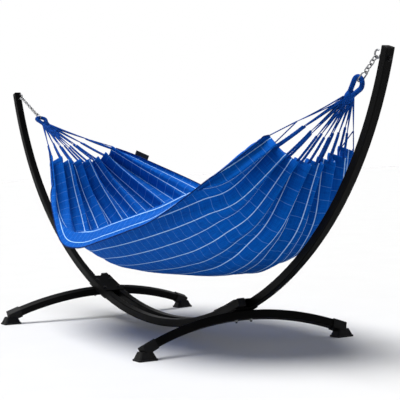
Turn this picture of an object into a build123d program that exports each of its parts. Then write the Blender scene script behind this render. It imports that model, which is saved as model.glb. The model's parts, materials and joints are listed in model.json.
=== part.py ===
from build123d import *
import os
from math import acos, asin, atan2, cos, degrees, hypot, radians, sin, sqrt

# Hammock on a free-standing steel stand, in millimetres. +Z is up, X runs along the hammock and the
# origin is on the floor under the middle of the stand. Two identical bent square tubes lie side by
# side in the middle. The front one (-Y) rises at the left (-X), the rear one (+Y) at the right (+X).

os.makedirs("parts", exist_ok=True)

# ---------------------------------------------------------------- driving dimensions
TUBE = 35.0  # outside width of every square tube
WALL = 2.0
CORNER = 4.0  # outer corner radius of the square tubes
TUBE_GAP = 36.0  # clear space between the two bent tubes
BASE_HEIGHT = 44.0  # tube centreline above the floor at the lowest point
LOWER_RADIUS = 1720.0  # bend of the long lower stretch
LOWER_ANGLE = 41.0
UPPER_RADIUS = 1464.0  # slightly tighter bend of the upright
UPPER_ANGLE = 32.0
SHORT_END_ANGLE = 23.8  # where each tube stops past its joint

JOINT_ANGLE = 21.5  # the foot bar and the long bolts sit here
SHORT_BOLT_ANGLE = 18.6
PLATE_ANGLES = (17.3, 23.0)
PLATE = 3.0
FOOT_ARCH_RADIUS = 1230.0
FOOT_HALF_LENGTH = 473.0  # from the middle of the bar to the middle of a foot
FOOT_BAR_HALF_LENGTH = 480.0

BOLT_RADIUS = 4.0
BOLT_HOLE_RADIUS = 4.5
HOOK_DROP = 35.0  # the hook sits this far below the end of the upright
HOOK_WIRE = 7.0
HOOK_RING_RADIUS = 14.5
HOOK_STEM = 18.0  # bare stem between the tube and the ring

LINK_WIRE = 4.5
LINK_INNER_LENGTH = 20.0
LINK_INNER_WIDTH = 12.0
LINKED_GAP = 0.3  # play between two pieces that hang in each other
CARABINER_WIRE = 5.5
CARABINER_BEND = 12.0
CARABINER_STRAIGHT = 26.0
GATE_WIRE = 5.4
LOOP_ROPE = 17.0
LOOP_RADIUS = 24.0
LOOP_NECK = 50.0  # from the middle of the loop's bend to its whipping
WHIPPING_LENGTH = 25.0
WHIPPING_RADIUS = 17.5

BED_ENDS = (-785.0, 1105.0)  # the cloth's end hems, along the hammock's own line
BED_THICKNESS = 4.0
BED_MIDDLE = (440.0, 270.0, 410.0)  # half width, height of the bottom and of the rims
BED_END = (205.0, 755.0, 830.0)
HEM_LENGTH = 14.0
HEM_THICKNESS = 8.0
CORD_RADIUS = 2.0
CORDS_PER_ROW = 8

# ---------------------------------------------------------------- the tubes' centreline
TUBE_Y = (TUBE_GAP + TUBE) / 2
UPRIGHT_ANGLE = LOWER_ANGLE + UPPER_ANGLE
HALF_TUBE = TUBE / 2
BEND_CENTRE = (0, BASE_HEIGHT + LOWER_RADIUS)  # of the lower stretch, in an upright plane


def centreline(angle):
    """Distance from the middle and height of the centreline where it has climbed to this angle."""
    low = radians(min(angle, LOWER_ANGLE))
    x = LOWER_RADIUS * sin(low)
    z = BASE_HEIGHT + LOWER_RADIUS * (1 - cos(low))
    if angle > LOWER_ANGLE:
        high = radians(angle)
        x += UPPER_RADIUS * (sin(high) - sin(low))
        z += UPPER_RADIUS * (cos(low) - cos(high))
    return x, z


def outward(side, angle):
    """Unit vector out of the bend, square to the tube, on the left (-1) or the right (1)."""
    return Vector(side * sin(radians(angle)), 0, -cos(radians(angle)))


def on_tube(side, angle, y, out=0.0):
    """A point at this angle of the bend, moved out of the bend by `out`."""
    x, z = centreline(angle)
    return Vector(side * x, y, z) + outward(side, angle) * out


def across_tube(side, angle, y, out=0.0):
    """The plane square to the bend's radius, its normal pointing out of the bend."""
    return Plane(origin=on_tube(side, angle, y, out), x_dir=(0, 1, 0), z_dir=outward(side, angle))


def bend_plane(turn):
    """The upright plane of a bent tube. turn 1 is the front tube, -1 the rear one."""
    return Plane(origin=(0, -turn * TUBE_Y, 0), x_dir=(turn, 0, 0), z_dir=(0, -turn, 0))


def finish(part, name):
    part.label = name
    export_step(part, f"parts/{name}.step")


# ---------------------------------------------------------------- bent tubes and their caps
def bent_path(turn):
    """Centreline of a bent tube from its short end, down through the middle and up its upright."""
    x, z = centreline(LOWER_ANGLE)
    low = radians(LOWER_ANGLE)
    upper_centre = (-x + UPPER_RADIUS * sin(low), z + UPPER_RADIUS * cos(low))
    with BuildLine(bend_plane(turn)) as path:
        CenterArc(
            BEND_CENTRE, LOWER_RADIUS, SHORT_END_ANGLE - 90, -SHORT_END_ANGLE - LOWER_ANGLE
        )
        CenterArc(upper_centre, UPPER_RADIUS, -LOWER_ANGLE - 90, -UPPER_ANGLE)
    return path.wire()


def tube_section(plane):
    with BuildSketch(plane) as section:
        RectangleRounded(TUBE, TUBE, CORNER)
        RectangleRounded(TUBE - 2 * WALL, TUBE - 2 * WALL, CORNER - WALL, mode=Mode.SUBTRACT)
    return section.sketch


def bent_tube(name, turn):
    path = bent_path(turn)
    y = -turn * TUBE_Y
    start = Plane(origin=path @ 0, x_dir=(0, 1, 0), z_dir=path % 0)
    hook_angle = UPRIGHT_ANGLE - degrees(HOOK_DROP / UPPER_RADIUS)
    with BuildPart() as tube:
        sweep(sections=tube_section(start), path=path)
        for side in (-1, 1):
            for angle in (SHORT_BOLT_ANGLE, JOINT_ANGLE):
                with BuildSketch(across_tube(side, angle, y)):
                    Circle(BOLT_HOLE_RADIUS)
                extrude(amount=TUBE, both=True, mode=Mode.SUBTRACT)
        with BuildSketch(across_tube(-turn, hook_angle, y)):
            Circle(BOLT_HOLE_RADIUS)
        extrude(amount=TUBE, both=True, mode=Mode.SUBTRACT)
    finish(tube.part, name)


def tube_cap(name, turn, at_top):
    """A plastic plug with a rounded lid, pushed into an open tube end."""
    path = bent_path(turn)
    position = 1 if at_top else 0
    facing = (path % position) * (1 if at_top else -1)
    lid_thickness = 5.0
    plug_length = 18.0
    plug_play = 0.5
    lid_plane = Plane(origin=path @ position, x_dir=(0, 1, 0), z_dir=facing)
    with BuildPart() as cap:
        with BuildSketch(lid_plane):
            RectangleRounded(TUBE, TUBE, CORNER)
        extrude(amount=lid_thickness)
        fillet(cap.faces().sort_by(Axis(path @ position, facing))[-1].edges(), 2.5)
        with BuildSketch(lid_plane):
            RectangleRounded(TUBE - 2 * WALL - plug_play, TUBE - 2 * WALL - plug_play, CORNER - WALL)
            RectangleRounded(TUBE - 5 * WALL, TUBE - 5 * WALL, 1, mode=Mode.SUBTRACT)
        extrude(amount=-plug_length)
    finish(cap.part, name)


bent_tube("front_arc_tube", 1)
bent_tube("rear_arc_tube", -1)
tube_cap("left_top_cap", 1, True)
tube_cap("right_top_cap", -1, True)
tube_cap("front_tube_end_cap", 1, False)
tube_cap("rear_tube_end_cap", -1, False)


# ---------------------------------------------------------------- joint plates and foot bars
def joint_plate(name, side, inner_out):
    """A plate curved like the tubes that ties both together, `inner_out` from their centreline."""
    first, last = PLATE_ANGLES
    begin = -90 + side * first
    turn = side * (last - first)
    inner = LOWER_RADIUS + inner_out
    with BuildPart() as plate:
        with BuildSketch(Plane.XZ):
            with BuildLine():
                arc_in = CenterArc(BEND_CENTRE, inner, begin, turn)
                arc_out = CenterArc(BEND_CENTRE, inner + PLATE, begin, turn)
                Line(arc_in @ 0, arc_out @ 0)
                Line(arc_in @ 1, arc_out @ 1)
            make_face()
        extrude(amount=TUBE_Y + HALF_TUBE, both=True)
        for y in (-TUBE_Y, TUBE_Y):
            for angle in (SHORT_BOLT_ANGLE, JOINT_ANGLE):
                with BuildSketch(across_tube(side, angle, y)):
                    Circle(BOLT_HOLE_RADIUS)
                extrude(amount=TUBE, both=True, mode=Mode.SUBTRACT)
    finish(plate.part, name)


BAR_OUT = HALF_TUBE + PLATE + HALF_TUBE  # from the bent tubes' centreline to the foot bar's


def foot_plane(side):
    """The leaning plane of a foot bar's arch: its x is +Y and its y points into the bend."""
    slope = radians(JOINT_ANGLE)
    apex = on_tube(side, JOINT_ANGLE, 0, BAR_OUT)
    return Plane(origin=apex, x_dir=(0, 1, 0), z_dir=(cos(slope), 0, side * sin(slope)))


def arch_drop(distance):
    """How far a foot bar has come down this far from its middle."""
    return FOOT_ARCH_RADIUS - sqrt(FOOT_ARCH_RADIUS**2 - distance**2)


def foot_bar(name, side):
    half_angle = degrees(asin(FOOT_BAR_HALF_LENGTH / FOOT_ARCH_RADIUS))
    with BuildLine(foot_plane(side)) as path:
        CenterArc((0, -FOOT_ARCH_RADIUS), FOOT_ARCH_RADIUS, 90 + half_angle, -2 * half_angle)
    arch = path.wire()
    start = Plane(origin=arch @ 0, x_dir=foot_plane(side).z_dir, z_dir=arch % 0)
    with BuildPart() as bar:
        sweep(sections=tube_section(start), path=arch)
        for y in (-TUBE_Y, TUBE_Y):
            with BuildSketch(across_tube(side, JOINT_ANGLE, y, BAR_OUT)):
                Circle(BOLT_HOLE_RADIUS)
            extrude(amount=TUBE, both=True, mode=Mode.SUBTRACT)
    finish(bar.part, name)


def foot(name, side, end):
    """A moulded foot: a sleeve over the bar's end on a flared pad that stands flat on the floor."""
    sleeve_wall = 4.0
    play = 0.9
    sleeve_length = 62.0
    pad_size = (66.0, 84.0)
    flare_size = (60.0, 78.0)
    shoulder_size = (46.0, 52.0)
    pad_thickness = 7.0
    shoulder_height = 34.0
    pad_corner = 9.0
    plane = foot_plane(side)
    tip = plane.from_local_coords(
        (end * FOOT_BAR_HALF_LENGTH, -arch_drop(FOOT_BAR_HALF_LENGTH), 0)
    )
    middle_angle = asin((FOOT_BAR_HALF_LENGTH - sleeve_length / 2) / FOOT_ARCH_RADIUS)
    along = plane.x_dir * (end * cos(middle_angle)) - plane.y_dir * sin(middle_angle)
    sleeve_end = tip + along * (play + sleeve_wall)
    sleeve_plane = Plane(origin=sleeve_end, x_dir=plane.z_dir, z_dir=-along)
    pad_y = end * FOOT_HALF_LENGTH
    with BuildPart() as cap:
        with BuildSketch(sleeve_plane):
            RectangleRounded(TUBE + 2 * sleeve_wall, TUBE + 2 * sleeve_wall, CORNER + 2)
        extrude(amount=sleeve_length)
        with BuildSketch(Plane.XY):
            with Locations((tip.X, pad_y)):
                RectangleRounded(*pad_size, pad_corner)
        extrude(amount=pad_thickness)
        with BuildSketch(Plane.XY.offset(pad_thickness)):
            with Locations((tip.X, pad_y)):
                RectangleRounded(*flare_size, pad_corner)
        with BuildSketch(Plane.XY.offset(shoulder_height)):
            with Locations((tip.X, pad_y)):
                RectangleRounded(*shoulder_size, pad_corner)
        loft()
        with BuildSketch(sleeve_plane.offset(sleeve_wall)):
            RectangleRounded(TUBE + 2 * play, TUBE + 2 * play, CORNER)
        extrude(amount=sleeve_length * 2, mode=Mode.SUBTRACT)
    finish(cap.part, name)


for side_name, side in (("left", -1), ("right", 1)):
    joint_plate(f"{side_name}_saddle_plate", side, -HALF_TUBE - PLATE)
    joint_plate(f"{side_name}_lower_plate", side, HALF_TUBE)
    foot_bar(f"{side_name}_foot_bar", side)
    foot(f"{side_name}_front_foot", side, -1)
    foot(f"{side_name}_rear_foot", side, 1)


# ---------------------------------------------------------------- joint bolts and nuts
HEAD_RADIUS = 9.0
HEAD_HEIGHT = 5.0
NUT_ACROSS_FLATS = 13.0
NUT_HEIGHT = 6.5
THREAD_PAST_NUT = 4.0
SEAT_PLAY = 0.05  # a flat head or nut stands this far off a curved face


def bolts(name, side, angle, grip_out):
    """Two cup-head bolts, one through each bent tube, from the saddle plate to `grip_out`."""
    seat = -HALF_TUBE - PLATE - SEAT_PLAY
    with BuildPart() as group:
        for y in (-TUBE_Y, TUBE_Y):
            with BuildSketch(across_tube(side, angle, y, seat)):
                Circle(BOLT_RADIUS)
            extrude(amount=grip_out - seat + NUT_HEIGHT + THREAD_PAST_NUT)
            with BuildSketch(across_tube(side, angle, y, seat)):
                Circle(HEAD_RADIUS)
            extrude(amount=-HEAD_HEIGHT, taper=35)
    finish(group.part, name)


def nuts(name, side, angle, grip_out):
    with BuildPart() as group:
        for y in (-TUBE_Y, TUBE_Y):
            with BuildSketch(across_tube(side, angle, y, grip_out)):
                RegularPolygon(NUT_ACROSS_FLATS / 2, 6, major_radius=False)
                Circle(BOLT_RADIUS, mode=Mode.SUBTRACT)
            extrude(amount=NUT_HEIGHT)
    finish(group.part, name)


for side_name, side in (("left", -1), ("right", 1)):
    short_grip = HALF_TUBE + PLATE + SEAT_PLAY
    long_grip = BAR_OUT + HALF_TUBE + arch_drop(TUBE_Y + NUT_ACROSS_FLATS / sqrt(3))
    bolts(f"{side_name}_short_bolts", side, SHORT_BOLT_ANGLE, short_grip)
    nuts(f"{side_name}_short_bolt_nuts", side, SHORT_BOLT_ANGLE, short_grip)
    bolts(f"{side_name}_foot_bolts", side, JOINT_ANGLE, long_grip)
    nuts(f"{side_name}_foot_bolt_nuts", side, JOINT_ANGLE, long_grip)


# ---------------------------------------------------------------- hooks at the tube tops
HOOK_ANGLE = UPRIGHT_ANGLE - degrees(HOOK_DROP / UPPER_RADIUS)
WASHER_RADIUS = 10.0
WASHER_THICKNESS = 1.6
CAP_NUT_HEIGHT = 7.0


def ring_centre(side):
    return on_tube(side, HOOK_ANGLE, side * TUBE_Y, -HALF_TUBE - HOOK_STEM - HOOK_RING_RADIUS)


def hook(name, side):
    """An open ring on a threaded stem that passes through the tube."""
    open_angle = 78.0
    stem_tilt = HOOK_ANGLE - 90
    plane = Plane(origin=ring_centre(side), x_dir=(side, 0, 0), z_dir=(0, -side, 0))
    with BuildLine(plane) as bend:
        CenterArc((0, 0), HOOK_RING_RADIUS, stem_tilt, open_angle - 360)
    ring = bend.wire()
    stem_end = HALF_TUBE + WASHER_THICKNESS + CAP_NUT_HEIGHT
    with BuildPart() as piece:
        with BuildSketch(Plane(origin=ring @ 0, z_dir=ring % 0)):
            Circle(HOOK_WIRE / 2)
        sweep(path=ring)
        with BuildSketch(across_tube(side, HOOK_ANGLE, side * TUBE_Y, -HALF_TUBE - HOOK_STEM)):
            Circle(HOOK_WIRE / 2)
        extrude(amount=HOOK_STEM)
        with BuildSketch(across_tube(side, HOOK_ANGLE, side * TUBE_Y, -HALF_TUBE)):
            Circle(BOLT_RADIUS)
        extrude(amount=HALF_TUBE + stem_end)
    finish(piece.part, name)


def hook_washer(name, side):
    with BuildPart() as washer:
        with BuildSketch(across_tube(side, HOOK_ANGLE, side * TUBE_Y, HALF_TUBE)):
            Circle(WASHER_RADIUS)
            Circle(BOLT_HOLE_RADIUS, mode=Mode.SUBTRACT)
        extrude(amount=WASHER_THICKNESS)
    finish(washer.part, name)


def cap_nut(name, side):
    """A hexagonal nut with a closed dome over the end of the thread."""
    seat = HALF_TUBE + WASHER_THICKNESS
    dome_radius = NUT_ACROSS_FLATS / 2 - 0.4
    dome_height = 4.7
    with BuildPart() as nut:
        with BuildSketch(across_tube(side, HOOK_ANGLE, side * TUBE_Y, seat)):
            RegularPolygon(NUT_ACROSS_FLATS / 2, 6, major_radius=False)
        extrude(amount=NUT_HEIGHT)
        with BuildSketch(across_tube(side, HOOK_ANGLE, side * TUBE_Y, seat + NUT_HEIGHT)):
            Circle(dome_radius)
        extrude(amount=dome_height, taper=28)
        with BuildSketch(across_tube(side, HOOK_ANGLE, side * TUBE_Y, seat)):
            Circle(BOLT_RADIUS)
        extrude(amount=CAP_NUT_HEIGHT, mode=Mode.SUBTRACT)
    finish(nut.part, name)


for side_name, side in (("left", -1), ("right", 1)):
    hook(f"{side_name}_hook", side)
    hook_washer(f"{side_name}_hook_washer", side)
    cap_nut(f"{side_name}_hook_cap_nut", side)


# ---------------------------------------------------------------- the hammock's own line
# The hammock hangs in the upright plane through both hooks, which crosses the stand at a small angle.
RING = ring_centre(1)
YAW = atan2(RING.Y, RING.X)
RING_REACH = hypot(RING.X, RING.Y)
ALONG = Vector(cos(YAW), sin(YAW), 0)
SIDEWAYS = Vector(-sin(YAW), cos(YAW), 0)
UP = Vector(0, 0, 1)
PULL_ANGLE = {-1: 28.0, 1: 41.0}  # how steeply each end's chain hangs
LINKS = {-1: 11, 1: 4}  # the left chain is hung lower by more links
LOOP_UPRIGHT = {-1: False, 1: True}  # each carabiner lies across its own loop and last link


def pull(side):
    slope = radians(PULL_ANGLE[side])
    return ALONG * (-side * cos(slope)) - UP * sin(slope)


def pull_normal(side):
    """Square to the pull and to SIDEWAYS."""
    return SIDEWAYS.cross(pull(side))


def on_pull(side, distance):
    return ring_centre(side) + pull(side) * distance


def pull_plane(side, distance, upright):
    """Plane with its x along the pull. An upright one holds the pull's own upright plane."""
    normal = SIDEWAYS if upright else pull_normal(side)
    return Plane(origin=on_pull(side, distance), x_dir=pull(side), z_dir=normal)


# ---------------------------------------------------------------- chains
LINK_LENGTH = LINK_INNER_LENGTH + LINK_WIRE  # between the centres of a link's two end wires
LINK_PITCH = LINK_INNER_LENGTH - LINKED_GAP
FIRST_LINK = HOOK_RING_RADIUS - HOOK_WIRE / 2 - LINK_WIRE / 2 - LINKED_GAP


def oval_path(plane, half_straight, bend):
    with BuildLine(plane) as path:
        Line((-half_straight, bend), (half_straight, bend))
        CenterArc((half_straight, 0), bend, 90, -180)
        Line((half_straight, -bend), (-half_straight, -bend))
        CenterArc((-half_straight, 0), bend, -90, -180)
    return path.wire()


def chain(name, side):
    bend = (LINK_INNER_WIDTH + LINK_WIRE) / 2
    with BuildPart() as links:
        for index in range(LINKS[side]):
            middle = FIRST_LINK + index * LINK_PITCH + LINK_LENGTH / 2
            path = oval_path(pull_plane(side, middle, index % 2 == 1), LINK_LENGTH / 2 - bend, bend)
            with BuildSketch(Plane(origin=path @ 0, z_dir=path % 0)):
                Circle(LINK_WIRE / 2)
            sweep(path=path)
    finish(links.part, name)


def chain_end(side):
    """Where the centre of the last link's far wire lies on the pull."""
    return FIRST_LINK + (LINKS[side] - 1) * LINK_PITCH + LINK_LENGTH


# ---------------------------------------------------------------- carabiners, gates and pins
CARABINER_LENGTH = CARABINER_STRAIGHT + 2 * CARABINER_BEND
PIVOT = 11.0  # the gate's pin, from the middle of the carabiner towards the hammock
PIN_RADIUS = 0.9
PIN_PLAY = 0.06
TAB_THICKNESS = 2.0
SLOT_WIDTH = 2.6
GATE_TIP = -11.4  # along the pull, from the carabiner's middle
NOSE_TIP = -12.0


def carabiner_middle(side):
    top = chain_end(side) - LINK_WIRE / 2 - CARABINER_WIRE / 2 - LINKED_GAP
    return top + CARABINER_LENGTH / 2


def carabiner_plane(side):
    return pull_plane(side, carabiner_middle(side), not LOOP_UPRIGHT[side])


def carabiner(name, side):
    """A wire hook, open along one side between its nose and the thin tab that holds the gate."""
    plane = carabiner_plane(side)
    half = CARABINER_STRAIGHT / 2
    tab_turn = 7.0  # the wire ends this many degrees into its bend, beside the tab
    tab_start, tab_end = PIVOT - 2.2, 15.5
    tab_height = 4.4
    with BuildLine(plane) as bend:
        Line((NOSE_TIP, CARABINER_BEND), (-half, CARABINER_BEND))
        CenterArc((-half, 0), CARABINER_BEND, 90, 180)
        Line((-half, -CARABINER_BEND), (half, -CARABINER_BEND))
        CenterArc((half, 0), CARABINER_BEND, -90, 180 - tab_turn)
    wire = bend.wire()
    with BuildPart() as body:
        with BuildSketch(Plane(origin=wire @ 0, z_dir=wire % 0)):
            Circle(CARABINER_WIRE / 2)
        sweep(path=wire)
        with BuildSketch(plane):
            with Locations(((tab_start + tab_end) / 2, CARABINER_BEND)):
                Rectangle(tab_end - tab_start, tab_height)
            with Locations((PIVOT, CARABINER_BEND)):
                Circle(PIN_RADIUS, mode=Mode.SUBTRACT)
        extrude(amount=TAB_THICKNESS / 2, both=True)
    finish(body.part, name)


def gate(name, side):
    plane = carabiner_plane(side)
    tail = PIVOT + 1.8
    slot_start = PIVOT - 3.6
    slot_end = tail + 1.0
    start = plane.from_local_coords((GATE_TIP, CARABINER_BEND, 0))
    with BuildPart() as bar:
        with BuildSketch(Plane(origin=start, x_dir=plane.y_dir, z_dir=plane.x_dir)):
            Circle(GATE_WIRE / 2)
        extrude(amount=tail - GATE_TIP)
        with BuildSketch(plane):
            with Locations(((slot_start + slot_end) / 2, CARABINER_BEND)):
                Rectangle(slot_end - slot_start, GATE_WIRE + 2)
        extrude(amount=SLOT_WIDTH / 2, both=True, mode=Mode.SUBTRACT)
        with BuildSketch(plane):
            with Locations((PIVOT, CARABINER_BEND)):
                Circle(PIN_RADIUS + PIN_PLAY)
        extrude(amount=GATE_WIRE, both=True, mode=Mode.SUBTRACT)
    finish(bar.part, name)


def gate_pin(name, side):
    with BuildPart() as pin:
        with BuildSketch(carabiner_plane(side)):
            with Locations((PIVOT, CARABINER_BEND)):
                Circle(PIN_RADIUS)
        extrude(amount=GATE_WIRE / 2, both=True)
    finish(pin.part, name)


# ---------------------------------------------------------------- end loops
def loop_middle(side):
    """Centre of the loop's round bend, which hangs in the carabiner's lower bend."""
    carabiner_bottom = carabiner_middle(side) + CARABINER_LENGTH / 2
    return carabiner_bottom - CARABINER_WIRE / 2 - LOOP_ROPE / 2 - LINKED_GAP + LOOP_RADIUS


def end_loop(name, side):
    """A rope bent round in a drop shape, its two legs side by side where the whipping begins."""
    leg = LOOP_ROPE / 2 + 0.1  # from the middle line to a leg's own middle, so the legs just part
    leg_distance = hypot(LOOP_NECK, leg)
    turn = degrees(atan2(leg, LOOP_NECK) + acos(LOOP_RADIUS / leg_distance))
    start = (LOOP_RADIUS * cos(radians(turn)), LOOP_RADIUS * sin(radians(turn)))
    with BuildLine(pull_plane(side, loop_middle(side), LOOP_UPRIGHT[side])) as drop:
        Line((LOOP_NECK, leg), start)
        CenterArc((0, 0), LOOP_RADIUS, turn, 360 - 2 * turn)
        Line((start[0], -start[1]), (LOOP_NECK, -leg))
    path = drop.wire()
    with BuildPart() as loop:
        with BuildSketch(Plane(origin=path @ 0, z_dir=path % 0)):
            Circle(LOOP_ROPE / 2)
        sweep(path=path)
        with BuildSketch(Plane(origin=on_pull(side, loop_middle(side) + LOOP_NECK), z_dir=pull(side))):
            Circle(WHIPPING_RADIUS * 3)
        extrude(amount=LOOP_ROPE, mode=Mode.SUBTRACT)
    finish(loop.part, name)


def whipping_end(side):
    return loop_middle(side) + LOOP_NECK + WHIPPING_LENGTH


def whipping(name, side):
    """The cord binding that gathers all suspension cords under the loop."""
    start = Plane(
        origin=on_pull(side, loop_middle(side) + LOOP_NECK), x_dir=SIDEWAYS, z_dir=pull(side)
    )
    widening, flattening = 4.0, 5.0  # towards the cords it turns from round to oval
    with BuildPart() as binding:
        with BuildSketch(start):
            Circle(WHIPPING_RADIUS)
        with BuildSketch(start.offset(WHIPPING_LENGTH)):
            Ellipse(WHIPPING_RADIUS + widening, WHIPPING_RADIUS - flattening)
        loft()
    finish(binding.part, name)


# ---------------------------------------------------------------- the cloth
BED_CENTRE = (BED_ENDS[0] + BED_ENDS[1]) / 2
BED_HALF = (BED_ENDS[1] - BED_ENDS[0]) / 2
BED_STATIONS = 16
WIDTH_POWER = 5.0  # a higher power is more even in the middle and changes faster at the ends
BOTTOM_POWER = 4.0
RIM_POWER = 2.2


def bed_section(x):
    """Half width, bottom height and rim height of the cloth at this place along the hammock."""
    share = abs(x - BED_CENTRE) / BED_HALF
    half_width = BED_END[0] + (BED_MIDDLE[0] - BED_END[0]) * (1 - share**WIDTH_POWER)
    bottom = BED_MIDDLE[1] + (BED_END[1] - BED_MIDDLE[1]) * share**BOTTOM_POWER
    rim = BED_MIDDLE[2] + (BED_END[2] - BED_MIDDLE[2]) * share**RIM_POWER
    return half_width, bottom, rim


def bed_plane(x):
    return Plane(origin=ALONG * x, x_dir=SIDEWAYS, z_dir=ALONG)


def trough(plane, section, thickness):
    """A thin U-shaped slice of the cloth."""
    half_width, bottom, rim = section
    with BuildSketch(plane) as slice_:
        with BuildLine():
            outer = ThreePointArc((-half_width, rim), (0, bottom), (half_width, rim))
            inner = ThreePointArc(
                (thickness - half_width, rim), (0, bottom + thickness), (half_width - thickness, rim)
            )
            Line(outer @ 0, inner @ 0)
            Line(outer @ 1, inner @ 1)
        make_face()
    return slice_.sketch


def hammock_cloth():
    slices = []
    for station in range(BED_STATIONS + 1):
        x = BED_ENDS[0] + station * 2 * BED_HALF / BED_STATIONS
        slices.append(trough(bed_plane(x), bed_section(x), BED_THICKNESS))
    with BuildPart() as cloth:
        loft(sections=slices, ruled=True)
    finish(cloth.part, "hammock_cloth")


def end_hem(name, side):
    """The thick folded hem that the suspension cords pull on."""
    x = BED_ENDS[0] if side < 0 else BED_ENDS[1]
    with BuildPart() as hem:
        extrude(to_extrude=trough(bed_plane(x), BED_END, HEM_THICKNESS), amount=side * HEM_LENGTH)
    finish(hem.part, name)


def suspension_cords(name, side):
    """Straight cords in two rows, from the whipping to points spread along the end hem."""
    half_width, bottom, rim = BED_END
    hem_x = (BED_ENDS[0] if side < 0 else BED_ENDS[1]) + side * HEM_LENGTH
    neck_spacing = 4.3
    row_gap = 5.6
    end_play = 1.6  # keeps the slanting cord ends out of the whipping and the hem
    total = 2 * CORDS_PER_ROW
    with BuildPart() as cords:
        for number in range(total):
            row = number % 2
            column = number // 2
            neck_offset = (column - (CORDS_PER_ROW - 1) / 2) * neck_spacing
            start = (
                on_pull(side, whipping_end(side))
                + SIDEWAYS * neck_offset
                + pull_normal(side) * ((row - 0.5) * row_gap)
            )
            spread = (number - (total - 1) / 2) / (total / 2)
            height = bottom + (rim - bottom) * spread**2 + HEM_THICKNESS / 2
            end = ALONG * hem_x + SIDEWAYS * (spread * (half_width - HEM_THICKNESS)) + UP * height
            run = (end - start).normalized()
            with BuildSketch(Plane(origin=start + run * end_play, z_dir=run)):
                Circle(CORD_RADIUS)
            extrude(amount=(end - start).length - 2 * end_play)
    finish(cords.part, name)


def label_tag():
    """A blank woven tag sewn to the rear rim."""
    x = -685.0
    half_width, bottom, rim = bed_section(x)
    length, height, thickness = 78.0, 26.0, 1.6
    hem_overlap = 6.0
    width_before, bottom_before, rim_before = bed_section(x - length / 2)
    width_after, bottom_after, rim_after = bed_section(x + length / 2)
    widening = (width_after - width_before) / length
    climb = (rim_after - rim_before) / length
    rim_line = (ALONG + SIDEWAYS * widening + UP * climb).normalized()
    out = (SIDEWAYS - ALONG * widening).normalized()
    middle = ALONG * x + SIDEWAYS * half_width + out * 2 * thickness
    middle += UP * (rim + height / 2 - hem_overlap)
    with BuildPart() as tag:
        with BuildSketch(Plane(origin=middle, x_dir=rim_line, z_dir=out)):
            Rectangle(length, height)
        extrude(amount=thickness)
    finish(tag.part, "label_tag")


for side_name, side in (("left", -1), ("right", 1)):
    chain(f"{side_name}_chain_links", side)
    carabiner(f"{side_name}_carabiner", side)
    gate(f"{side_name}_carabiner_gate", side)
    gate_pin(f"{side_name}_gate_pin", side)
    end_loop(f"{side_name}_end_loop", side)
    whipping(f"{side_name}_whipping", side)
    suspension_cords(f"{side_name}_suspension_cords", side)
    end_hem(f"{side_name}_end_hem", side)
hammock_cloth()
label_tag()
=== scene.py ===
import json
import math

import bpy
import numpy as np
from mathutils import Matrix, Vector


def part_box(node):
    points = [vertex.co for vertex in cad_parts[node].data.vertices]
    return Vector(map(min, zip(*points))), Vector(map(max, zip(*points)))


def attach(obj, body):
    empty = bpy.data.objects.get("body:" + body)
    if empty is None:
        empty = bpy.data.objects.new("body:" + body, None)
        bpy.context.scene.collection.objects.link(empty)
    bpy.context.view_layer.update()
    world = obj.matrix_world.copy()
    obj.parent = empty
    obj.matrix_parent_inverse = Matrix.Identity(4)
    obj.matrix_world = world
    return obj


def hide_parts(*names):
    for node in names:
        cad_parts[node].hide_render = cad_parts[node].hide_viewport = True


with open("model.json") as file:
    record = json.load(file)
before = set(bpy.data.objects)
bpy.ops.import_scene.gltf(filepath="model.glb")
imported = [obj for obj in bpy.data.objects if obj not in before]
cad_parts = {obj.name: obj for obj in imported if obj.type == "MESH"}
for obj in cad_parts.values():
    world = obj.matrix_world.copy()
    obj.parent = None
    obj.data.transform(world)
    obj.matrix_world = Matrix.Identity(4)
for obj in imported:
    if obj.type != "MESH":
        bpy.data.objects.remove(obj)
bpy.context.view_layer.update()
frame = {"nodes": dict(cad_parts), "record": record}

NODES = frame["nodes"]
HAMMOCK = "hammock"
ENDS = {"left": -1, "right": 1}


# ---------------------------------------------------------------- places read from the frame
def middle(node):
    low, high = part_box(node)
    return np.array((low + high) / 2)


ALONG = middle("right_hook") - middle("left_hook")
ALONG[2] = 0.0
ALONG /= np.linalg.norm(ALONG)
SIDEWAYS = np.array([-ALONG[1], ALONG[0], 0.0])
UP = np.array([0.0, 0.0, 1.0])
BED_LOW, BED_HIGH = (np.array(corner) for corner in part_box("hammock_cloth"))
BED_LENGTH = BED_HIGH[0] - BED_LOW[0]
BED_HALF_WIDTH = (BED_HIGH[1] - BED_LOW[1]) / 2
BED_DEPTH = BED_HIGH[2] - BED_LOW[2]


# ---------------------------------------------------------------- mesh helpers
def mesh_piece(name, points, faces, material):
    mesh = bpy.data.meshes.new(name)
    mesh.from_pydata([tuple(p) for p in points], [], [tuple(f) for f in faces])
    mesh.update()
    piece = bpy.data.objects.new(name, mesh)
    bpy.context.scene.collection.objects.link(piece)
    mesh.materials.append(material)
    mesh.polygons.foreach_set("use_smooth", [True] * len(mesh.polygons))
    return piece


def unit(vectors):
    return vectors / np.maximum(np.linalg.norm(vectors, axis=-1, keepdims=True), 1e-12)


def grid_faces(rows, columns, closed=False):
    """Quads of a grid of points, row by row. A closed grid's last column meets its first."""
    faces = []
    for row in range(rows - 1):
        for column in range(columns if closed else columns - 1):
            after = (column + 1) % columns
            here = row * columns
            above = here + columns
            faces.append((here + column, here + after, above + after, above + column))
    return faces


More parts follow.
